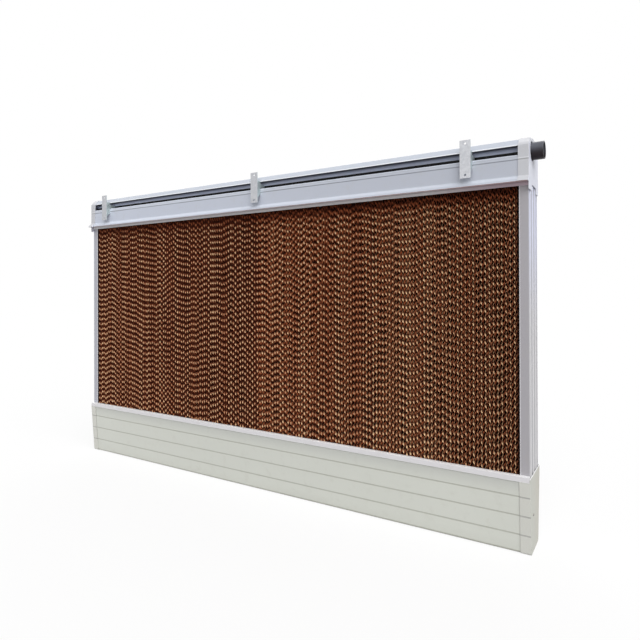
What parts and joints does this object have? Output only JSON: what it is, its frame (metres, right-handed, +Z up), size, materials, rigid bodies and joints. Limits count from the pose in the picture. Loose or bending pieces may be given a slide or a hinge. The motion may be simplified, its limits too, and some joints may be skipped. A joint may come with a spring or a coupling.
{
  "type": "evaporative cooling pad wall",
  "caption": "Framed evaporative cooling pad wall: fluted paper pads between side channels, over a water trough and under a header with its water pipe and hooked hangers.",
  "frame": {"origin": "on the floor, at the middle of the wall's length and under the middle plane of the pads, on the trough's flat underside", "axes": "+X along the wall to the end where the water pipe comes out, +Y from the air inlet face to the rear face, +Z up"},
  "size_m": [2.4672, 0.2139, 1.4733],
  "materials": {
    "trough_pvc": "satin extruded PVC, warm light grey",
    "cap_pvc": "moulded plastic, light grey",
    "strip_pvc": "satin extruded PVC, pale grey",
    "channel_pvc": "satin extruded PVC, light grey",
    "kraft_paper": "resin-treated kraft paper, brown, matt",
    "header_pvc": "satin extruded PVC, bluish light grey",
    "pipe_pvc": "glossy grey PVC pipe",
    "zinc_steel": "galvanised sheet steel"
  },
  "bodies": {
    "root": {"trough": "trough_pvc", "trough_end_cap_left": "cap_pvc", "trough_end_cap_right": "cap_pvc", "retaining_strip_left": "strip_pvc", "retaining_strip_right": "strip_pvc", "side_channel_left": "channel_pvc", "side_channel_right": "channel_pvc", "pad_1": "kraft_paper", "pad_2": "kraft_paper", "pad_3": "kraft_paper", "pad_4": "kraft_paper", "header_frame": "header_pvc", "pipe_hood": "header_pvc", "header_end_cap_left": "cap_pvc", "header_end_cap_right": "cap_pvc", "water_pipe": "pipe_pvc", "hanger_left": "zinc_steel", "hanger_middle": "zinc_steel", "hanger_right": "zinc_steel"}
  },
  "joints": []
}
